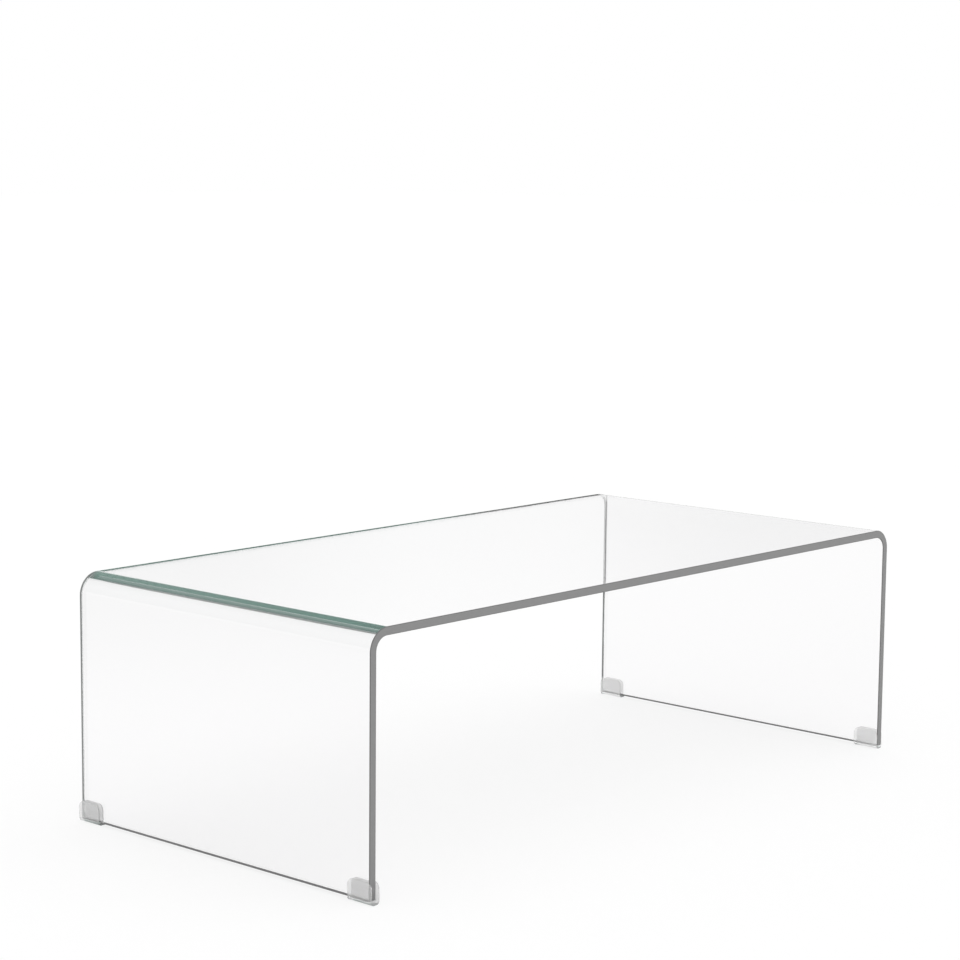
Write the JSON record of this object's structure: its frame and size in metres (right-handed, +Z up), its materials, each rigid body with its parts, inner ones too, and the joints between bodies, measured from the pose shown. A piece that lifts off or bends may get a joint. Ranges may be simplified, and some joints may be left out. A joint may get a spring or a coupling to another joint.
{
  "type": "waterfall coffee table",
  "caption": "Low table of clear bent glass: the top curves down at its ends into full-width panel legs, the long sides are open, and clear slip-on feet cap the leg corners.",
  "frame": {"origin": "on the floor, under the middle of the table", "axes": "+X along the length towards the right leg, +Y towards the rear long side, +Z up"},
  "size_m": [1.2032, 0.6, 0.3665],
  "materials": {
    "clear_glass": "clear with a faint green cast, fire-polished faces, satin ground edges",
    "clear_pvc": "clear soft moulded plastic, slightly milky, semi-gloss"
  },
  "bodies": {
    "root": {"glass_sheet": "clear_glass", "foot_front_left": "clear_pvc", "foot_front_right": "clear_pvc", "foot_rear_left": "clear_pvc", "foot_rear_right": "clear_pvc"}
  },
  "joints": []
}
